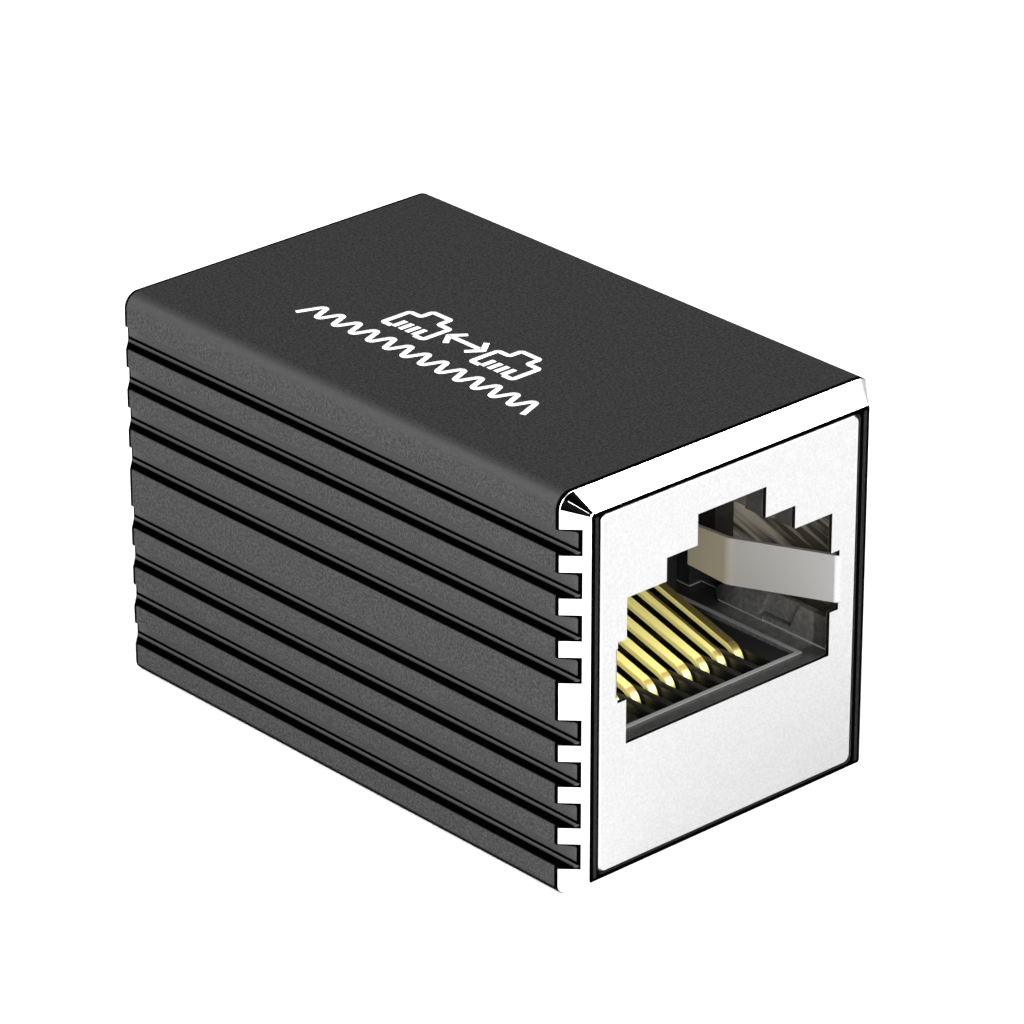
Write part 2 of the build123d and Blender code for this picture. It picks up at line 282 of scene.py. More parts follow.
def finish_tree(tree, shape, finish):
    """Makes a shape's copies real, gives it its material and ends the tree with it."""
    shape = add_node(tree, "GeometryNodeRealizeInstances", {"Geometry": shape}).outputs[0]
    shape = add_node(tree, "GeometryNodeSetMaterial", {"Geometry": shape, "Material": finish}).outputs[0]
    add_node(tree, "NodeGroupOutput", {0: shape})


def wire_row_tree(sizes, finish):
    """Rounds the corners of each centre line, gives it the strip's section, and repeats it in a row."""
    tree, keys, given = new_shape_tree("contact_wire_row", sizes, ["Row Count"])
    section = rectangle(tree, given["Width"], given["Thickness"])
    section = round_corners(tree, section, given["Edge Radius"], segments=3)
    wire = strip_on_lines(tree, given["Geometry"], section, segments=10, thin_way=(1, 0, 0))
    row = points_in_row(tree, 0, given["Row Count"], given["Row Start"], given["Row Step"])
    row = add_node(tree, "GeometryNodeInstanceOnPoints", {"Points": row, "Instance": wire})
    finish_tree(tree, row.outputs[0], finish)
    return tree, keys


def gold_plate(shaded_from):
    """Soft yellow gold, with painted shade in brown where the bend starts and on the tops of the two wires
    at the right of each port.
    """
    finish, tree, shader = new_finish("contact_gold_plate", Metallic=0.1, Specular_IOR_Level=0.5)
    point = object_point(tree)
    clouds = noise(tree, point, 1.2)
    grain = noise(tree, point, 0.06, 2.0)
    colour = blend_colours(tree, clouds, (1.0, 0.86, 0.27, 1), (1.0, 0.92, 0.34, 1))
    place = axes_of(tree, point)
    facing = facing_axes(tree)
    # Painted shade: brown where the bend starts, picked out by the way the surface faces.
    from_bend_start = absolute(tree, math_node(tree, "SUBTRACT", absolute(tree, facing[1]), 0.56))
    bend_start_painted_shade = add_node(
        tree, "ShaderNodeMapRange",
        {"Value": from_bend_start, "From Min": 0.07, "From Max": 0.2, "To Min": 0.75, "To Max": 0.0},
        interpolation_type="SMOOTHSTEP",
    ).outputs[0]
    colour = blend_colours(tree, bend_start_painted_shade, colour, (0.30, 0.17, 0.03, 1))
    # Painted shade: the tops of the wires past a given offset to the right are taken to dark brown.
    end_sign = math_node(tree, "SIGN", place[1])
    rightward = product(tree, place[0], end_sign, -1.0)
    on_top = remap(tree, facing[2], 0.55, 0.95, 0.0, 0.95)
    right_wires_painted_shade = product(tree, math_node(tree, "GREATER_THAN", rightward, shaded_from), on_top)
    colour = blend_colours(tree, right_wires_painted_shade, colour, (0.055, 0.036, 0.010, 1))
    tree.links.new(colour, shader.inputs["Base Color"])
    tree.links.new(remap(tree, clouds, 0.3, 0.7, 0.30, 0.42), shader.inputs["Roughness"])
    raise_bump(tree, shader, grain, 0.0015, 0.4)
    return finish


contact_count = 8
wire_width = 0.45 * MM
wire_thickness = 0.28 * MM
wire_edge_radius = 0.05 * MM
lower_leg_z = 4.75 * MM
wire_bend_y = -11.05 * MM
wire_bend_radius = 0.91 * MM
wire_rise = math.radians(15.6)
wire_reach = 5.62 * MM
tail_end_y = 1.30 * MM
jog_y = -1.70 * MM
jog_rise = 2.00 * MM
jog_radius = 0.35 * MM

bend_corner = wire_bend_radius * math.tan((math.pi - wire_rise) / 4)
spring_start = Vector((
    0,
    wire_bend_y - wire_bend_radius * math.sin(wire_rise),
    lower_leg_z + wire_bend_radius * (1 + math.cos(wire_rise)),
))
along_spring = Vector((0, math.cos(wire_rise), math.sin(wire_rise)))
bend_and_spring = [
    Vector((0, wire_bend_y - bend_corner, lower_leg_z)),
    spring_start - along_spring * bend_corner,
    spring_start + along_spring * wire_reach,
]
straight_tail = [Vector((0, tail_end_y, lower_leg_z))]
raised_tail = [
    Vector((0, tail_end_y, lower_leg_z + jog_rise)),
    Vector((0, jog_y, lower_leg_z + jog_rise)),
    Vector((0, jog_y, lower_leg_z)),
]
to_next = Vector((contact_pitch, 0, 0))
centre_lines = [
    straight_tail + bend_and_spring,
    [point + to_next for point in raised_tail + bend_and_spring],
]
bend_radii = [wire_bend_radius, wire_bend_radius, 0.0]
corner_radii = [[0.0] + bend_radii, [0.0, jog_radius, jog_radius] + bend_radii]

# Wires right of this offset get the painted shade on their tops.
shaded_wires_from = 2.58 * MM
gold_finish = gold_plate(shaded_wires_from)
wire_sizes = {
    "Width": wire_width,
    "Thickness": wire_thickness,
    "Edge Radius": wire_edge_radius,
    "Row Step": 2 * contact_pitch,
    "Row Count": contact_count // 2,
    "Row Start": -contact_pitch * (contact_count - 1) / 2,
}
wire_tree, wire_keys = wire_row_tree(wire_sizes, gold_finish)
half_turn = Matrix.Rotation(math.pi, 4, "Z")
for end in ("front", "rear"):
    centre_line_mesh = polyline_mesh("contact_centre_lines", centre_lines, corner_radii)
    wires = run_tree(wire_tree, wire_keys, wire_sizes, centre_line_mesh, f"contact_wires_{end}")
    if end == "rear":
        wires.data.transform(half_turn)
    smooth_to_angle(wires, 50)
    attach(wires, "root")
    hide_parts(*[f"contact_{end}_{i + 1}" for i in range(contact_count)])

# Contact carriers. A comb of black nylon, moulded in one shot, that keeps the eight wires apart.
# It slides into the housing floor from behind and is held there by the circuit board.


def ease_edges(shape, edge_radius, crisp_over_degrees, material_index):
    """Rounds every edge that folds by more than an angle, and gives the new faces a material."""
    crisp = [
        edge for edge in shape.edges
        if len(edge.link_faces) == 2 and edge.calc_face_angle() > math.radians(crisp_over_degrees)
    ]
    bmesh.ops.bevel(
        shape, geom=crisp, offset=edge_radius, segments=2, profile=0.5, affect="EDGES",
        clamp_overlap=True, material=material_index,
    )


def softened_copy(node_name, piece_name, edge_radius, finishes):
    """A CAD node's mesh, merged and made of whole faces, its edges eased and given the second finish."""
    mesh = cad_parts[node_name].data.copy()
    mesh.name = piece_name
    shape = bmesh.new()
    shape.from_mesh(mesh)
    bmesh.ops.remove_doubles(shape, verts=shape.verts, dist=weld_distance)
    bmesh.ops.dissolve_limit(
        shape, angle_limit=math.radians(0.5), verts=shape.verts, edges=shape.edges, delimit={"NORMAL"}
    )
    for face in shape.faces:
        face.material_index = 0
    ease_edges(shape, edge_radius, crisp_over_degrees=35, material_index=1)
    shape.to_mesh(mesh)
    shape.free()
    if "custom_normal" in mesh.attributes:
        mesh.attributes.remove(mesh.attributes["custom_normal"])
    mesh.materials.clear()
    for finish in finishes:
        mesh.materials.append(finish)
    piece = bpy.data.objects.new(piece_name, mesh)
    bpy.context.scene.collection.objects.link(piece)
    smooth_to_angle(piece, 30)
    return piece


def darken(tree, share, colour):
    """A colour taken towards black by a share from 0 to 1."""
    return blend_colours(tree, share, colour, (0.0, 0.0, 0.0, 1))


def moulded_plastic(name, dark, light, gloss, painted_shade_below=None, port=None):
    """Black engineering plastic with a spark-eroded skin and flow marks, with painted shade in pits and
    towards both ends of the port, and a painted highlight on the pit's rim top.
    """
    finish, tree, shader = new_finish(name, Specular_IOR_Level=0.5)
    point = object_point(tree)
    place = axes_of(tree, point)
    skin = noise(tree, point, 0.09, 3.0)
    flow = add_node(tree, "ShaderNodeMapping", {"Vector": point, "Scale": (1.0, 0.25, 1.0)})
    flow = noise(tree, flow.outputs[0], 2.2, 3.0, 0.6)
    mottle = remap(tree, noise(tree, point, 0.22, 3.0, 0.7), 0.36, 0.64, 0.0, 1.0)
    share = math_node(tree, "MULTIPLY_ADD", flow, 0.3, product(tree, mottle, 0.7))
    colour = blend_colours(tree, share, dark, light)
    # Painted shade: darker below a given height, in the pits.
    if painted_shade_below is not None:
        shade_depth = 0.5 * MM
        pit_painted_shade = remap(tree, place[2], painted_shade_below - shade_depth, painted_shade_below, 0.9, 0.0)
        colour = darken(tree, pit_painted_shade, colour)
    if port is not None:
        inner_end, mouth, rim_top = port
        mouth_fade = 0.1 * MM
        inner_fade = 1.4 * MM
        half_highlight_width = 0.03 * MM
        along = absolute(tree, place[1])
        # Painted shade: darker towards the port's mouth and towards its inner end.
        colour = darken(tree, remap(tree, along, mouth - mouth_fade, mouth, 0.0, 0.6), colour)
        colour = darken(tree, remap(tree, along, inner_end, inner_end + inner_fade, 0.85, 0.0), colour)
        # Painted highlight: a light grey line along the top of the pit's rim.
        from_rim_top = absolute(tree, math_node(tree, "SUBTRACT", place[2], rim_top))
        pit_rim_painted_highlight = product(tree, math_node(tree, "LESS_THAN", from_rim_top, half_highlight_width), 0.8)
        colour = blend_colours(tree, pit_rim_painted_highlight, colour, (0.28, 0.28, 0.28, 1))
    tree.links.new(colour, shader.inputs["Base Color"])
    tree.links.new(remap(tree, flow, 0.3, 0.7, *gloss), shader.inputs["Roughness"])
    raise_bump(tree, shader, skin, 0.004, 0.6)
    return finish


weld_distance = 0.0005 * MM
comb_edge_radius = 0.05 * MM
comb_shade_below = 6.23 * MM
carrier_finishes = [
    moulded_plastic("carrier_nylon", (0.006, 0.006, 0.007, 1), (0.010, 0.010, 0.011, 1), (0.32, 0.45)),
    # Edge finish: lighter slate grey as a painted highlight on the eased edges, with painted shade below the
    # comb's top.
    moulded_plastic(
        "carrier_nylon_painted_edge_highlight", (0.13, 0.15, 0.18, 1), (0.19, 0.21, 0.24, 1), (0.30, 0.40),
        comb_shade_below,
    ),
]
for end in ("front", "rear"):
    carrier = softened_copy(
        f"contact_carrier_{end}", f"contact_comb_{end}", comb_edge_radius, carrier_finishes
    )
    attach(carrier, "root")
    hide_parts(f"contact_carrier_{end}")

# Jack housings. Black glass-filled polyester, moulded with the plug guide, the latch steps and the
# rimmed contact pit in one piece. Each is pushed into its shield from behind.
housing_edge_radius = 0.08 * MM
pit_shade_below = 6.38 * MM
pit_rim_top = 6.56 * MM
port_inner_end = 7.9 * MM
port_mouth = 13.8 * MM
housing_finishes = [
    # Body finish: painted shade in the pit and at both ends of the port, and a painted highlight on the
    # pit's rim top.
    moulded_plastic(
        "housing_polyester", (0.056, 0.056, 0.055, 1), (0.138, 0.136, 0.132, 1), (0.28, 0.42),
        pit_shade_below, (port_inner_end, port_mouth, pit_rim_top),
    ),
    # Edge finish: light grey as a painted highlight on the eased edges, with painted shade below the pit's
    # top.
    moulded_plastic(
        "housing_polyester_painted_edge_highlight", (0.60, 0.60, 0.60, 1), (0.80, 0.80, 0.80, 1), (0.25, 0.35),
        pit_shade_below,
    ),
]
for end in ("front", "rear"):
    housing = softened_copy(f"housing_{end}", f"plug_guide_{end}", housing_edge_radius, housing_finishes)
    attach(housing, "root")
    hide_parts(f"housing_{end}")

# Jack shields. Phosphor-bronze sheet under satin nickel, punched, with the four walls and the two
# leaf springs folded back from the face plate. Each can is pushed into the sleeve from its end.


def outside_box(tree, aside, height, half_width, low, high):
    """How far a point lies outside an upright rectangle centred on the part; negative inside it."""
    beside = math_node(tree, "SUBTRACT", aside, half_width)
    beyond = absolute(tree, math_node(tree, "SUBTRACT", height, (low + high) / 2))
    return math_node(tree, "MAXIMUM", beside, math_node(tree, "SUBTRACT", beyond, (high - low) / 2))


def satin_nickel(plate_back, can_inside, plate_box, leaf_bend):
    """Nickel over rolled sheet: grained on the plate, with a painted highlight at its rim and painted shade
    on its cut sides; inside the can, a painted reflection turns the leaf beige past its bend and paints
    streaks on the walls.
    """
    rim_width = 0.13 * MM
    wall_depth = 0.3 * MM
    half_bend = 0.4 * MM
    finish, tree, shader = new_finish("shield_satin_nickel")
    point = object_point(tree)
    place = axes_of(tree, point)
    aside = absolute(tree, place[0])
    along = absolute(tree, place[1])
    grain = noise(tree, point, 0.10, 3.0, 0.7)
    grained = remap(tree, grain, 0.3, 0.7, 0.0, 1.0)
    colour = blend_colours(tree, grained, (0.44, 0.44, 0.44, 1), (0.54, 0.54, 0.54, 1))
    at_plate = math_node(tree, "GREATER_THAN", along, plate_back)
    from_rim = outside_box(tree, aside, place[2], *plate_box)
    # Painted highlight: a lighter band round the plate's outline.
    rim = product(tree, math_node(tree, "GREATER_THAN", from_rim, -rim_width), at_plate)
    colour = blend_colours(tree, rim, colour, (0.62, 0.62, 0.62, 1))

    behind_plate = math_node(tree, "SUBTRACT", 1.0, at_plate)
    between_walls = math_node(tree, "LESS_THAN", aside, can_inside - wall_depth)
    on_leaf = product(tree, behind_plate, between_walls)
    on_wall = math_node(tree, "SUBTRACT", behind_plate, on_leaf)
    # Painted reflection: the leaf turns beige past its bend, where it faces the cavity's brownish walls.
    past_bend_painted_reflection = remap(tree, along, leaf_bend - half_bend, leaf_bend + half_bend, 1.0, 0.0)
    leaf = blend_colours(tree, past_bend_painted_reflection, (0.32, 0.315, 0.31, 1), (0.45, 0.41, 0.32, 1))
    colour = blend_colours(tree, on_leaf, colour, leaf)
    # Painted reflection: dark and light slanted streaks on the walls inside the can.
    slant = (math.radians(-16), 0, 0)
    slanted = add_node(tree, "ShaderNodeMapping", {"Vector": point, "Rotation": slant}).outputs[0]
    stretched = add_node(tree, "ShaderNodeMapping", {"Vector": slanted, "Scale": (1.0, 0.08, 1.0)})
    wall_painted_reflection_streaks = remap(tree, noise(tree, stretched.outputs[0], 0.5, 2.0), 0.46, 0.64, 0.0, 1.0)
    wall = blend_colours(tree, wall_painted_reflection_streaks, (0.10, 0.09, 0.07, 1), (0.74, 0.69, 0.58, 1))
    colour = blend_colours(tree, on_wall, colour, wall)
    # Painted shade: the plate's sideways-facing cut sides are near black.
    sideways = math_node(tree, "LESS_THAN", absolute(tree, facing_axes(tree, "True Normal")[1]), 0.4)
    cut_side_painted_shade = product(tree, at_plate, sideways)
    colour = blend_colours(tree, cut_side_painted_shade, colour, (0.03, 0.029, 0.028, 1))

    gloss = remap(tree, noise(tree, point, 3.0), 0.3, 0.7, 0.32, 0.38)
    gloss = math_node(tree, "MULTIPLY_ADD", on_leaf, 0.2, gloss)
    gloss = math_node(tree, "MULTIPLY_ADD", on_wall, -0.2, gloss)
    metal = math_node(tree, "MULTIPLY_ADD", behind_plate, -0.6, 1.0)
    metal = math_node(tree, "MULTIPLY_ADD", on_wall, -0.3, metal)
    tree.links.new(colour, shader.inputs["Base Color"])
    tree.links.new(gloss, shader.inputs["Roughness"])
    tree.links.new(metal, shader.inputs["Metallic"])
    rolled = add_node(tree, "ShaderNodeMapping", {"Vector": point, "Scale": (0.3, 3.0, 3.0)}).outputs[0]
    rolled_relief = raise_bump(tree, shader, noise(tree, rolled, 0.4), 0.0015, 0.3)
    raise_bump(tree, shader, grain, 0.003, 0.5, rolled_relief)
    return finish


def edge_highlight_nickel():
    """The punched edges, lighter than the plate as a painted highlight, and lightly mottled."""
    finish, tree, shader = new_finish("shield_painted_edge_highlight", Metallic=1.0, Roughness=0.35)
    edge_mottle = noise(tree, object_point(tree), 0.3)
    colour = blend_colours(tree, edge_mottle, (0.82, 0.82, 0.82, 1), (0.95, 0.95, 0.95, 1))
    tree.links.new(colour, shader.inputs["Base Color"])
    return finish


shield_edge_radius = 0.03 * MM
plate_back_y = 14.75 * MM
plate_half_width = 7.50 * MM
plate_foot_z = 0.80 * MM
plate_head_z = 17.42 * MM
can_inside_x = 7.30 * MM
leaf_bend_y = 10.39 * MM
plate_outline = (plate_half_width, plate_foot_z, plate_head_z)
shield_finishes = [satin_nickel(plate_back_y, can_inside_x, plate_outline, leaf_bend_y), edge_highlight_nickel()]
for end in ("front", "rear"):
    shield = softened_copy(f"shield_{end}", f"jack_shield_{end}", shield_edge_radius, shield_finishes)
    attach(shield, "root")
    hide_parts(f"shield_{end}")

# Sleeve. An aluminium extrusion with cooling-fin grooves down both sides, sawn to length, blasted
# and anodised black. Both ends are then chamfered with a diamond cutter, which leaves them bright.


def own_place(tree):
    """The X, Y and Z parts of each point's own place in a geometry tree."""
    return axes_of(tree, add_node(tree, "GeometryNodeInputPosition").outputs[0])


def section_curve(tree, width, height, top_radius, bottom_radius, segments):
    """A rounded rectangle, its upper and lower corners of different radius, starting at the top right."""
    upper = math_node(tree, "GREATER_THAN", own_place(tree)[1], 0.0)
    extra = math_node(tree, "SUBTRACT", top_radius, bottom_radius)
    radius = math_node(tree, "MULTIPLY_ADD", upper, extra, bottom_radius)
    return round_corners(tree, rectangle(tree, width, height), radius, segments)


def lift_curve(tree, curve, height):
    """A section moved up by a height."""
    shift = add_node(tree, "ShaderNodeCombineXYZ", {1: height}).outputs[0]
    return add_node(tree, "GeometryNodeTransform", {"Geometry": curve, "Translation": shift}).outputs[0]


def lofted_bar(tree, end_curve, middle_curve, corners_count, length, end_length):
    """A closed bar along Y through four sections: the end section, the middle one twice, and the end one."""
    bar = add_node(
        tree, "GeometryNodeMeshCylinder",
        {"Vertices": corners_count, "Side Segments": 3, "Radius": 1.0, "Depth": 3.0}, fill_type="NGON",
    )
    station = own_place(tree)[2]
    index = add_node(tree, "GeometryNodeInputIndex").outputs[0]
    around = math_node(tree, "MODULO", index, float(corners_count))
    outer = math_node(tree, "GREATER_THAN", absolute(tree, station), 1.0)
    inset = product(tree, math_node(tree, "SUBTRACT", 1.0, outer), end_length)
    from_middle = math_node(tree, "SUBTRACT", math_node(tree, "DIVIDE", length, 2.0), inset)
    along = product(tree, math_node(tree, "SIGN", station), -1.0, from_middle)
    sampled = []
    for curve in (end_curve, middle_curve):
        point = add_node(
            tree, "GeometryNodeSampleIndex",
            {"Geometry": curve, "Index": around}, data_type="FLOAT_VECTOR", domain="POINT",
        )
        tree.links.new(add_node(tree, "GeometryNodeInputPosition").outputs[0], point.inputs["Value"])
        sampled.append(point.outputs[0])
    chosen = add_node(tree, "ShaderNodeMix", {0: outer, 4: sampled[1], 5: sampled[0]}, data_type="VECTOR")
    flat = axes_of(tree, chosen.outputs[1])
    new_place = add_node(tree, "ShaderNodeCombineXYZ", {0: flat[0], 1: along, 2: flat[1]}).outputs[0]
    inputs = {"Geometry": bar.outputs[0], "Position": new_place}
    return add_node(tree, "GeometryNodeSetPosition", inputs).outputs[0]


def groove_row(tree, given, direction):
    """The points of one group of grooves on the left side, stepping up or down from the plain band."""
    to_first = math_node(tree, "ADD", given["Groove Band"], given["Groove Height"])
    to_first = product(tree, to_first, 0.5 * direction)
    half_height = math_node(tree, "DIVIDE", given["Height"], 2.0)
    band_middle = math_node(tree, "SUBTRACT", half_height, given["Groove Drop"])
    first = math_node(tree, "ADD", band_middle, to_first)
    step = product(tree, given["Groove Pitch"], direction)
    return points_in_row(tree, 2, given["Grooves In Group"], first, step)


def bar_section(tree, given, beside, above, below, radius, segments):
    """A section inset from the sleeve's outline by its sides, top and foot, all its corners alike."""
    width = math_node(tree, "MULTIPLY_ADD", beside, -2.0, given["Width"])
    height = math_node(tree, "SUBTRACT", given["Height"], math_node(tree, "ADD", above, below))
    section = section_curve(tree, width, height, radius, radius, segments)
    return lift_curve(tree, section, math_node(tree, "MULTIPLY_ADD", height, 0.5, below))


def groove_section(tree, given, segments):
    """A groove's section, wider towards the outside, its two root corners rounded, at the left side."""
    cut_depth = product(tree, given["Groove Depth"], 1.5)
    root_width = math_node(tree, "MULTIPLY_ADD", given["Groove Draft"], -2.0, given["Groove Height"])
    mouth_width = math_node(tree, "ADD", given["Groove Height"], given["Groove Draft"])
    section = add_node(
        tree, "GeometryNodeCurvePrimitiveQuadrilateral",
        {"Bottom Width": root_width, "Top Width": mouth_width, "Offset": 0.0, "Height": cut_depth},
        mode="TRAPEZOID",
    )
    at_root = math_node(tree, "LESS_THAN", own_place(tree)[1], 0.0)
    radius = product(tree, at_root, given["Groove Root Radius"])
    section = round_corners(tree, section.outputs[0], radius, segments)
    half_width = math_node(tree, "DIVIDE", given["Width"], 2.0)
    to_root = math_node(tree, "SUBTRACT", half_width, given["Groove Depth"])
    outward = math_node(tree, "MULTIPLY_ADD", cut_depth, 0.5, to_root)
    shift = add_node(tree, "ShaderNodeCombineXYZ", {0: product(tree, outward, -1.0)}).outputs[0]
    inputs = {"Geometry": section, "Rotation": (0, 0, math.pi / 2), "Translation": shift}
    return add_node(tree, "GeometryNodeTransform", inputs).outputs[0]


def sleeve_tree(sizes, black, bright):
    """The extruded section with chamfered ends, less the bore and two groups of grooves on each side."""
    tree, keys, given = new_shape_tree("grooved_sleeve", sizes, ["Grooves In Group"])
    corner_segments = 12
    bore_segments = 4
    root_segments = 4
    full = section_curve(
        tree, given["Width"], given["Height"], given["Top Radius"], given["Bottom Radius"], corner_segments
    )
    full = lift_curve(tree, full, math_node(tree, "DIVIDE", given["Height"], 2.0))
    lip = bar_section(
        tree, given, given["Chamfer Side"], given["Chamfer Top"], given["Chamfer Bottom"],
        given["Lip Radius"], corner_segments,
    )
    body = lofted_bar(tree, lip, full, 4 * (corner_segments + 1), given["Length"], given["Chamfer Length"])

    past_ends = product(tree, given["Length"], 1.1)
    bore = bar_section(
        tree, given, given["Side Wall"], given["Roof"], given["Floor"], given["Bore Radius"], bore_segments
    )
    bore = lofted_bar(tree, bore, bore, 4 * (bore_segments + 1), past_ends, given["Chamfer Length"])

    groove = groove_section(tree, given, root_segments)
    cutter = lofted_bar(tree, groove, groove, 4 + 2 * root_segments, past_ends, given["Chamfer Length"])
    rows = add_node(tree, "GeometryNodeJoinGeometry")
    for direction in (-1.0, 1.0):
        tree.links.new(groove_row(tree, given, direction), rows.inputs[0])
    cutters = add_node(tree, "GeometryNodeJoinGeometry")
    for side_turn in (0.0, math.pi):
        inputs = {"Points": rows.outputs[0], "Instance": cutter, "Rotation": (0, 0, side_turn)}
        side = add_node(tree, "GeometryNodeInstanceOnPoints", inputs)
        tree.links.new(side.outputs[0], cutters.inputs[0])
    tree.links.new(bore, cutters.inputs[0])
    cutters = add_node(tree, "GeometryNodeRealizeInstances", {"Geometry": cutters.outputs[0]})
    cut = add_node(tree, "GeometryNodeMeshBoolean", operation="DIFFERENCE", solver="EXACT")
    tree.links.new(body, cut.inputs["Mesh 1"])
    tree.links.new(cutters.outputs[0], cut.inputs["Mesh 2"])

    whole = add_node(tree, "GeometryNodeRealizeInstances", {"Geometry": cut.outputs[0]})
    whole = add_node(tree, "GeometryNodeSetMaterial", {"Geometry": whole.outputs[0], "Material": black})
    endward = absolute(tree, axes_of(tree, add_node(tree, "GeometryNodeInputNormal").outputs[0])[1])
    from_slope = absolute(tree, math_node(tree, "SUBTRACT", endward, 0.6))
    is_chamfer = math_node(tree, "LESS_THAN", from_slope, 0.3)
    inputs = {"Geometry": whole.outputs[0], "Selection": is_chamfer, "Material": bright}
    whole = add_node(tree, "GeometryNodeSetMaterial", inputs)
    add_node(tree, "NodeGroupOutput", {0: whole.outputs[0]})
    return tree, keys


def ease_sleeve_edges(piece, edge_radius, black):
    """Rounds the arrises of the plain mesh and gives the new faces the black finish."""
    shape = bmesh.new()
    shape.from_mesh(piece.data)
    bmesh.ops.remove_doubles(shape, verts=shape.verts, dist=weld_distance)
    black_index = piece.data.materials.find(black.name)
    ease_edges(shape, edge_radius, crisp_over_degrees=30, material_index=black_index)
    shape.to_mesh(piece.data)
    shape.free()


def within(tree, value, low, high):
    """1 where a value lies between two limits, and 0 elsewhere."""
    above = math_node(tree, "GREATER_THAN", value, low)
    return product(tree, above, math_node(tree, "LESS_THAN", value, high))


def height_in_groove(tree, height, sizes, margin=0.0):
    """How far a point is above the foot of the nearest groove below it, or above a margin under that."""
    from_band = math_node(tree, "SUBTRACT", height, sizes["Height"] / 2 - sizes["Groove Drop"])
    first_up = sizes["Groove Band"] / 2
    first_down = -first_up - sizes["Groove Height"]
    above_band = math_node(tree, "GREATER_THAN", from_band, 0.0)
    row_start = math_node(tree, "MULTIPLY_ADD", above_band, first_up - first_down, first_down - margin)
    up_the_row = math_node(tree, "SUBTRACT", from_band, row_start)
    return math_node(tree, "WRAP", up_the_row, sizes["Groove Pitch"], 0.0)


def black_anodising(sizes):
    """Blasted aluminium under a dyed oxide, with painted shade on the top, painted light up the groove
    roots, a painted highlight along each root corner, and painted shade in black on groove floors, in
    corners, along cut edges, round the end faces and under the foot.
    """
    finish, tree, shader = new_finish(
        "sleeve_black_anodising", Metallic=0.3, Specular_IOR_Level=0.0, Specular_Tint=(0.5, 0.5, 0.5, 1)
    )
    point = object_point(tree)
    grain = noise(tree, point, 0.11, 3.0, 0.7)
    place = axes_of(tree, point)
    height = place[2]
    aside = absolute(tree, place[0])
    along = absolute(tree, place[1])
    facing = facing_axes(tree)
    upward = facing[2]
    past_side = remap(tree, upward, 0.0, 0.5, 0.0, 1.0)
    rounding = product(tree, past_side, remap(tree, upward, 0.90, 0.99, 1.0, 0.0))
    coarseness = math_node(tree, "MULTIPLY_ADD", rounding, -0.65, 0.85)
    speckle = product(tree, math_node(tree, "SUBTRACT", grain, 0.5), coarseness)
    tone = remap(tree, speckle, -0.14, 0.14, 0.0, 1.0)
    colour = blend_colours(tree, tone, (0.027, 0.027, 0.028, 1), (0.067, 0.067, 0.068, 1))
    # Painted shade: faces that look up are made darker.
    colour = darken(tree, remap(tree, upward, 0.75, 1.0, 0.0, 0.38), colour)

    root_highlight_from = 0.02 * MM
    root_highlight_to = 0.115 * MM
    corner_shadow_to = 0.25 * MM
    lip_depth = 0.055 * MM
    half_width = sizes["Width"] / 2
    groove_depth = sizes["Groove Depth"]
    from_side = math_node(tree, "SUBTRACT", half_width, aside)
    in_step = height_in_groove(tree, height, sizes)
    below_top = math_node(tree, "LESS_THAN", height, sizes["Height"] - sizes["Top Radius"])
    in_groove = product(tree, within(tree, from_side, lip_depth, 1.1 * groove_depth), below_top)
    at_root = math_node(tree, "GREATER_THAN", from_side, groove_depth - 0.09 * MM)
    at_root = product(tree, at_root, in_groove)
    # Painted light: the groove root is lighter further up, under the lip.
    root_painted_light = remap(tree, in_step, 0.2 * sizes["Groove Height"], sizes["Groove Height"], 0.3, 0.8)
    colour = blend_colours(tree, product(tree, root_painted_light, at_root), colour, (0.082, 0.082, 0.084, 1))
    # Painted highlight: a thin lighter line along the root corner just above the groove floor; corner_shadow
    # is painted shadow above it.
    at_corner = math_node(tree, "GREATER_THAN", from_side, groove_depth - 0.13 * MM)
    in_line = within(tree, in_step, root_highlight_from, root_highlight_to)
    root_corner_painted_highlight = product(tree, at_corner, in_groove, in_line)
    corner_shadow = product(tree, at_root, within(tree, in_step, root_highlight_to, corner_shadow_to))
    # Painted shade: up-facing groove floors are black.
    groove_floor_painted_shade = product(tree, in_groove, math_node(tree, "GREATER_THAN", upward, 0.4))

    notch_shade_width = 0.11 * MM
    border_from = -0.15 * MM
    border_to = 0.03 * MM
    outer_rim_width = 0.15 * MM
    bore_rim_width = 0.13 * MM
    from_body_end = math_node(tree, "SUBTRACT", along, sizes["Length"] / 2 - sizes["Chamfer Length"])
    # Painted shade: a black line inside each groove where it meets the side chamfer.
    to_side_chamfer = absolute(tree, math_node(tree, "SUBTRACT", from_body_end, from_side))
    at_notch_edge = math_node(tree, "LESS_THAN", to_side_chamfer, notch_shade_width)
    notch_edge_painted_shade = product(tree, at_notch_edge, in_groove)
    # Painted shade: a black band where the sides meet the chamfer, beside the grooves.
    beside_groove = math_node(tree, "SUBTRACT", 1.0, in_groove)
    chamfer_border_painted_shade = product(tree, within(tree, from_body_end, border_from, border_to), beside_groove)
    # Painted shade: black lines round the outer and bore edges of each end face.
    outer_rim = outside_box(
        tree, aside, height, half_width - sizes["Chamfer Side"],
        sizes["Chamfer Bottom"], sizes["Height"] - sizes["Chamfer Top"],
    )
    bore_rim = outside_box(
        tree, aside, height, half_width - sizes["Side Wall"], sizes["Floor"], sizes["Height"] - sizes["Roof"]
    )
    at_outline = math_node(tree, "GREATER_THAN", outer_rim, -outer_rim_width)
    at_bore = math_node(tree, "LESS_THAN", bore_rim, bore_rim_width)
    end_face_rim_painted_shade = math_node(tree, "MAXIMUM", at_outline, at_bore)
    at_end = math_node(tree, "GREATER_THAN", from_body_end, 0.93 * sizes["Chamfer Length"])
    end_face_rim_painted_shade = product(tree, end_face_rim_painted_shade, at_end)

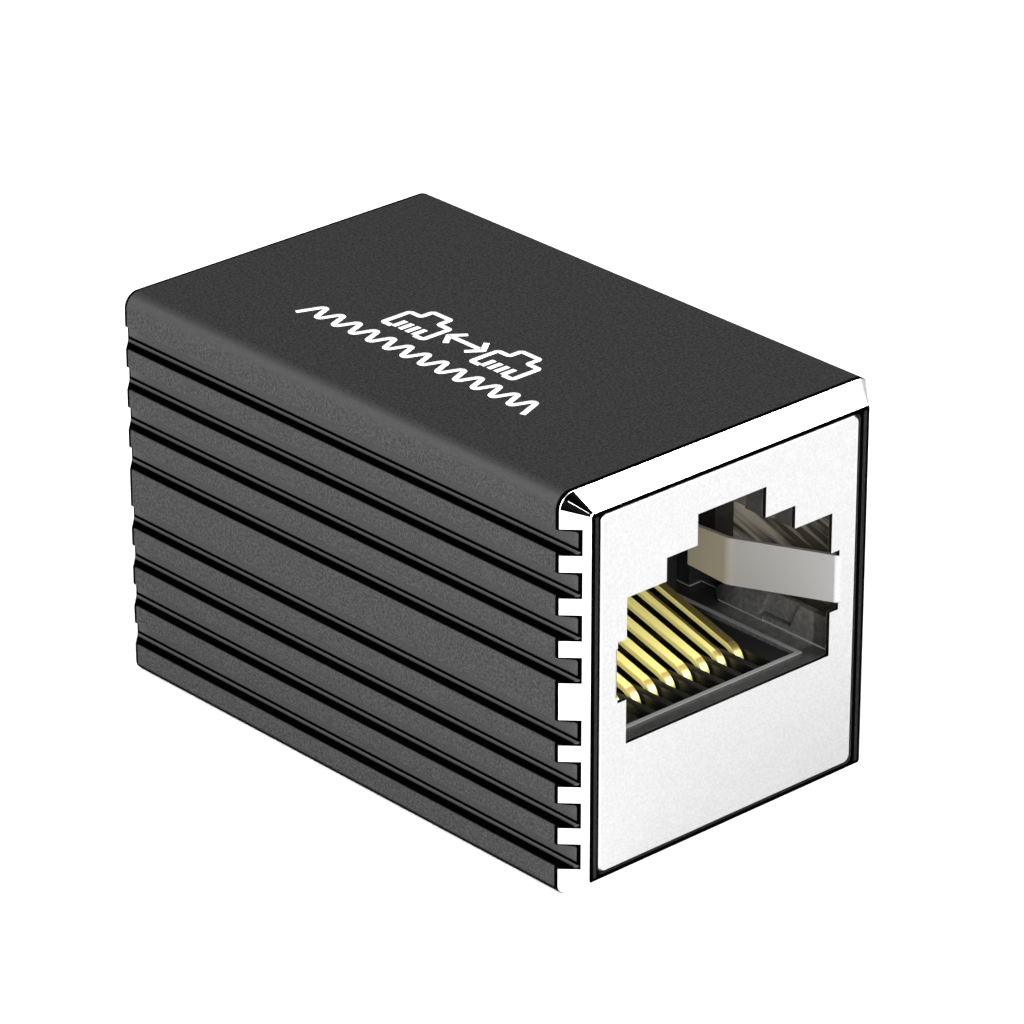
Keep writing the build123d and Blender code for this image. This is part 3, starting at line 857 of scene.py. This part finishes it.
    sawn_end = math_node(tree, "GREATER_THAN", absolute(tree, facing[1]), 0.9)
    colour = darken(tree, product(tree, sawn_end, 0.66), colour)
    # Painted shade: down-facing faces near the foot are taken nearly to black.
    at_foot = math_node(tree, "LESS_THAN", height, 2 * sizes["Bottom Radius"])
    foot_underside_painted_shade = product(tree, remap(tree, upward, -0.35, -0.05, 0.97, 0.0), at_foot)
    colour = darken(tree, foot_underside_painted_shade, colour)
    colour = blend_colours(tree, root_corner_painted_highlight, colour, (0.055, 0.055, 0.057, 1))
    # Painted shade: all the masks above, less the painted highlight line, are taken to black.
    black = groove_floor_painted_shade
    for line in (corner_shadow, notch_edge_painted_shade, chamfer_border_painted_shade, end_face_rim_painted_shade):
        black = math_node(tree, "MAXIMUM", black, line)
    black = math_node(tree, "SUBTRACT", black, root_corner_painted_highlight)
    colour = blend_colours(tree, black, colour, (0.0006, 0.0006, 0.0006, 1))
    tree.links.new(colour, shader.inputs["Base Color"])
    tree.links.new(remap(tree, grain, 0.3, 0.7, 0.46, 0.52), shader.inputs["Roughness"])
    raise_bump(tree, shader, speckle, 0.004, 0.2)
    return finish


def diamond_cut(sizes):
    """Bare aluminium cut bright in straight passes, with painted shade in black round each groove, and a
    painted reflection at one top corner of each end: a black fan split by a bright gleam.
    """
    finish, tree, shader = new_finish("sleeve_diamond_cut", Metallic=1.0)
    point = object_point(tree)
    drawn = add_node(tree, "ShaderNodeMapping", {"Vector": point, "Scale": (1.0, 14.0, 1.0)}).outputs[0]
    lines = noise(tree, drawn, 0.6, 2.0)
    colour = blend_colours(tree, lines, (0.94, 0.94, 0.945, 1), (0.98, 0.98, 0.98, 1))

    place = axes_of(tree, point)
    aside = absolute(tree, place[0])
    along = absolute(tree, place[1])
    # Painted reflection: a black fan over the chamfer's rounded corner, split by a bright gleam, at one top
    # corner of each end.
    corner_x = sizes["Width"] / 2 - sizes["Top Radius"]
    corner_z = sizes["Height"] - sizes["Top Radius"]
    inward = (sizes["Chamfer Side"] + sizes["Lip Radius"] - sizes["Top Radius"]) / sizes["Chamfer Length"]
    downward = (sizes["Chamfer Top"] + sizes["Lip Radius"] - sizes["Top Radius"]) / sizes["Chamfer Length"]
    down_chamfer = math_node(tree, "SUBTRACT", along, sizes["Length"] / 2 - sizes["Chamfer Length"])
    across = math_node(tree, "SUBTRACT", aside, corner_x)
    across = math_node(tree, "MULTIPLY_ADD", down_chamfer, inward, across)
    upward = math_node(tree, "SUBTRACT", place[2], corner_z)
    upward = math_node(tree, "MULTIPLY_ADD", down_chamfer, downward, upward)
    around = math_node(tree, "ARCTAN2", upward, across)
    fan_span = (0.055 * MM, 0.92 * MM)
    gleam_span = (0.18 * MM, 0.86 * MM)
    fan = within(tree, around, math.radians(9), math.radians(93))
    gleam = within(tree, around, math.radians(46), math.radians(49.5))
    gleam = product(tree, gleam, within(tree, down_chamfer, *gleam_span))
    gleam_gap = math_node(tree, "MULTIPLY_ADD", gleam, -0.75, 1.0)
    at_start = math_node(tree, "GREATER_THAN", product(tree, place[0], place[1]), 0.0)
    fan = product(tree, fan, within(tree, down_chamfer, *fan_span), gleam_gap, at_start)

    # Painted shade: a black outline round each groove where it cuts through the chamfer.
    line = 0.075 * MM
    half_band = sizes["Groove Band"] / 2
    group = (sizes["Grooves In Group"] - 1) * sizes["Groove Pitch"] + sizes["Groove Height"]
    from_band = math_node(tree, "SUBTRACT", place[2], sizes["Height"] / 2 - sizes["Groove Drop"])
    in_group = within(tree, absolute(tree, from_band), half_band - line, half_band + group + line)
    above_foot = height_in_groove(tree, place[2], sizes, line)
    beside_groove = math_node(tree, "LESS_THAN", above_foot, sizes["Groove Height"] + 2 * line)
    at_groove = math_node(tree, "GREATER_THAN", aside, sizes["Width"] / 2 - sizes["Groove Depth"] - line)
    groove_outline_painted_shade = product(tree, beside_groove, in_group, at_groove)
    black = math_node(tree, "MAXIMUM", fan, groove_outline_painted_shade)
    colour = blend_colours(tree, black, colour, (0.001, 0.001, 0.001, 1))
    tree.links.new(colour, shader.inputs["Base Color"])
    tree.links.new(remap(tree, lines, 0.3, 0.7, 0.20, 0.26), shader.inputs["Roughness"])
    raise_bump(tree, shader, lines, 0.0008, 0.25)
    return finish


sleeve_sizes_mm = {
    "Width": 18.0, "Height": 18.5, "Length": 30.0, "Top Radius": 0.75, "Bottom Radius": 0.45,
    "Side Wall": 1.46, "Roof": 1.04, "Floor": 0.76, "Bore Radius": 0.30,
    "Chamfer Length": 1.0, "Chamfer Side": 1.0, "Chamfer Top": 0.87, "Chamfer Bottom": 0.62,
    "Lip Radius": 0.12,
    "Groove Pitch": 1.94, "Groove Height": 1.05, "Groove Depth": 0.64, "Groove Draft": 0.06,
    "Groove Root Radius": 0.12, "Groove Band": 1.84, "Groove Drop": 0.13,
}
sleeve_sizes = {label: size * MM for label, size in sleeve_sizes_mm.items()}
sleeve_sizes["Grooves In Group"] = 4
sleeve_edge_radius = 0.05 * MM
anodised_finish = black_anodising(sleeve_sizes)
cut_finish = diamond_cut(sleeve_sizes)
sleeve_maker, sleeve_keys = sleeve_tree(sleeve_sizes, anodised_finish, cut_finish)
empty_mesh = bpy.data.meshes.new("sleeve_start")
sleeve = run_tree(sleeve_maker, sleeve_keys, sleeve_sizes, empty_mesh, "sleeve_extrusion")
ease_sleeve_edges(sleeve, sleeve_edge_radius, anodised_finish)
smooth_to_angle(sleeve, 30)
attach(sleeve, "root")
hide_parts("sleeve")

# Printed mark. White pad-printed ink on the top of the sleeve, a few thousandths of a millimetre
# thick: two port signs joined by an arrow, and under them a coiled line for the cable.


def ink_stroke_tree(sizes, ink):
    """Rounds the corners of each line and gives it a flat, thin section."""
    tree, keys, given = new_shape_tree("ink_strokes", sizes)
    section = rectangle(tree, given["Ink Depth"], given["Stroke Width"])
    strokes = strip_on_lines(tree, given["Geometry"], section, segments=5, thin_way=(0, 0, 1))
    finish_tree(tree, strokes, ink)
    return tree, keys


def white_ink():
    """Matt white ink, very slightly thin in places."""
    finish, tree, shader = new_finish("sleeve_white_ink", Roughness=0.6, Specular_IOR_Level=0.3)
    cover = noise(tree, object_point(tree), 0.25, 3.0)
    colour = blend_colours(tree, cover, (0.86, 0.86, 0.86, 1), (0.97, 0.97, 0.97, 1))
    tree.links.new(colour, shader.inputs["Base Color"])
    return finish


def port_sign(start, turn):
    """The outline of a port with its latch step, and four contact strokes inside it, as reading points."""
    outline = [
        (0.55, 0.0), (0.0, 0.0), (0.0, 1.55), (0.72, 1.55), (0.72, 2.25), (1.88, 2.25), (1.88, 1.55),
        (2.60, 1.55), (2.60, 0.0), (2.05, 0.0),
    ]
    strokes = [outline] + [[(0.65 + 0.43 * i, 0.0), (0.65 + 0.43 * i, 0.75)] for i in range(4)]
    return [[(start + turn * along, up) for along, up in stroke] for stroke in strokes]


sign_row_up_mm = -2.62
sign_strokes = port_sign(-4.05, 1) + port_sign(4.25, -1)
arrow_strokes = [
    [(-0.72, 1.1), (0.92, 1.1)],
    [(-0.50, 1.75), (-1.0, 1.1), (-0.50, 0.45)],
    [(0.70, 1.75), (1.2, 1.1), (0.70, 0.45)],
]
coil_row_up_mm = -4.85
coil_start_mm = -7.4
coil_length_mm = 14.6
coil_foot_mm = 0.12
coil_height_mm = 1.5
coil_turns = 13
coil_step_mm = coil_length_mm / (2 * coil_turns)
coil_stroke = [
    (coil_start_mm + coil_step_mm * i, coil_foot_mm + coil_height_mm * (i % 2))
    for i in range(2 * coil_turns + 1)
]
ink_lines, ink_radii = [], []
for row_up_mm, strokes, corner_radius_mm in (
    (sign_row_up_mm, sign_strokes, 0.12),
    (sign_row_up_mm, arrow_strokes, 0.02),
    (coil_row_up_mm, [coil_stroke], 0.16),
):
    for stroke in strokes:
        ink_lines.append([
            Vector(((row_up_mm + up) * MM, -along * MM, sleeve_sizes["Height"])) for along, up in stroke
        ])
        ink_radii.append([corner_radius_mm * MM] * len(stroke))
ink_sizes = {"Stroke Width": 0.27 * MM, "Ink Depth": 0.008 * MM}
ink_tree, ink_keys = ink_stroke_tree(ink_sizes, white_ink())
ink_mesh = polyline_mesh("ink_centre_lines", ink_lines, ink_radii)
ink = run_tree(ink_tree, ink_keys, ink_sizes, ink_mesh, "printed_mark")
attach(ink, "root")

# Studio. A plain pale floor under a soft sky, with large soft lights in front, to the left and
# above, and the lens at the height and distance of the photograph.


def soft_light(name, place, size, power):
    """A square area light that faces the part."""
    lamp = bpy.data.lights.new(name, "AREA")
    lamp.size = size
    lamp.energy = power
    holder = bpy.data.objects.new(name, lamp)
    holder.location = place
    holder.rotation_euler = (Vector(place) - part_middle).to_track_quat("Z", "Y").to_euler()
    bpy.context.scene.collection.objects.link(holder)


floor_mesh = bpy.data.meshes.new("studio_floor")
floor_reach = 3.0
floor_corners = [(x * floor_reach, y * floor_reach, 0) for x, y in ((-1, -1), (1, -1), (1, 1), (-1, 1))]
floor_mesh.from_pydata(floor_corners, [], [(0, 1, 2, 3)])
paint, paint_tree, paint_shader = new_finish("studio_floor_paint", Roughness=0.9, Specular_IOR_Level=0.2)
paint_cloud = noise(paint_tree, object_point(paint_tree), 60.0)
paint_colour = blend_colours(paint_tree, paint_cloud, (0.93, 0.93, 0.93, 1), (0.95, 0.95, 0.95, 1))
paint_tree.links.new(paint_colour, paint_shader.inputs["Base Color"])
floor_mesh.materials.append(paint)
floor = bpy.data.objects.new("studio_floor", floor_mesh)
bpy.context.scene.collection.objects.link(floor)

sky = bpy.data.worlds.new("studio_sky")
sky.use_nodes = True
sky.node_tree.nodes["Background"].inputs["Color"].default_value = (1, 1, 1, 1)
sky.node_tree.nodes["Background"].inputs["Strength"].default_value = 0.5
bpy.context.scene.world = sky
part_middle = Vector((0, 0, 0.009))
soft_light("softbox_left", (-0.45, 0.15, 0.35), size=0.4, power=4.5)
soft_light("softbox_key", (0.40, -0.42, 0.42), size=0.4, power=5.0)
soft_light("softbox_front", (-0.26, -0.50, 0.20), size=0.35, power=3.5)
soft_light("softbox_back", (-0.12, 0.45, 0.42), size=0.5, power=0.55)
bpy.context.scene.view_settings.view_transform = "Standard"

lens_turn = math.radians(-42.33)
lens_rise = math.radians(25.46)
lens_place = (-0.1457, -0.16131, 0.11344)
level = math.cos(lens_rise)
lens_back = Vector((math.sin(lens_turn) * level, -math.cos(lens_turn) * level, math.sin(lens_rise)))
lens_right = Vector((math.cos(lens_turn), math.sin(lens_turn), 0))
lens_up = lens_back.cross(lens_right)
lens_axes = Matrix((lens_right, lens_up, lens_back)).transposed().to_4x4()
camera_data = bpy.data.cameras.new("photograph_lens")
camera_data.lens = 193.47
camera_data.sensor_width = 36.0
camera = bpy.data.objects.new("photograph_lens", camera_data)
camera.matrix_world = Matrix.Translation(lens_place) @ lens_axes
bpy.context.scene.collection.objects.link(camera)
bpy.context.scene.camera = camera
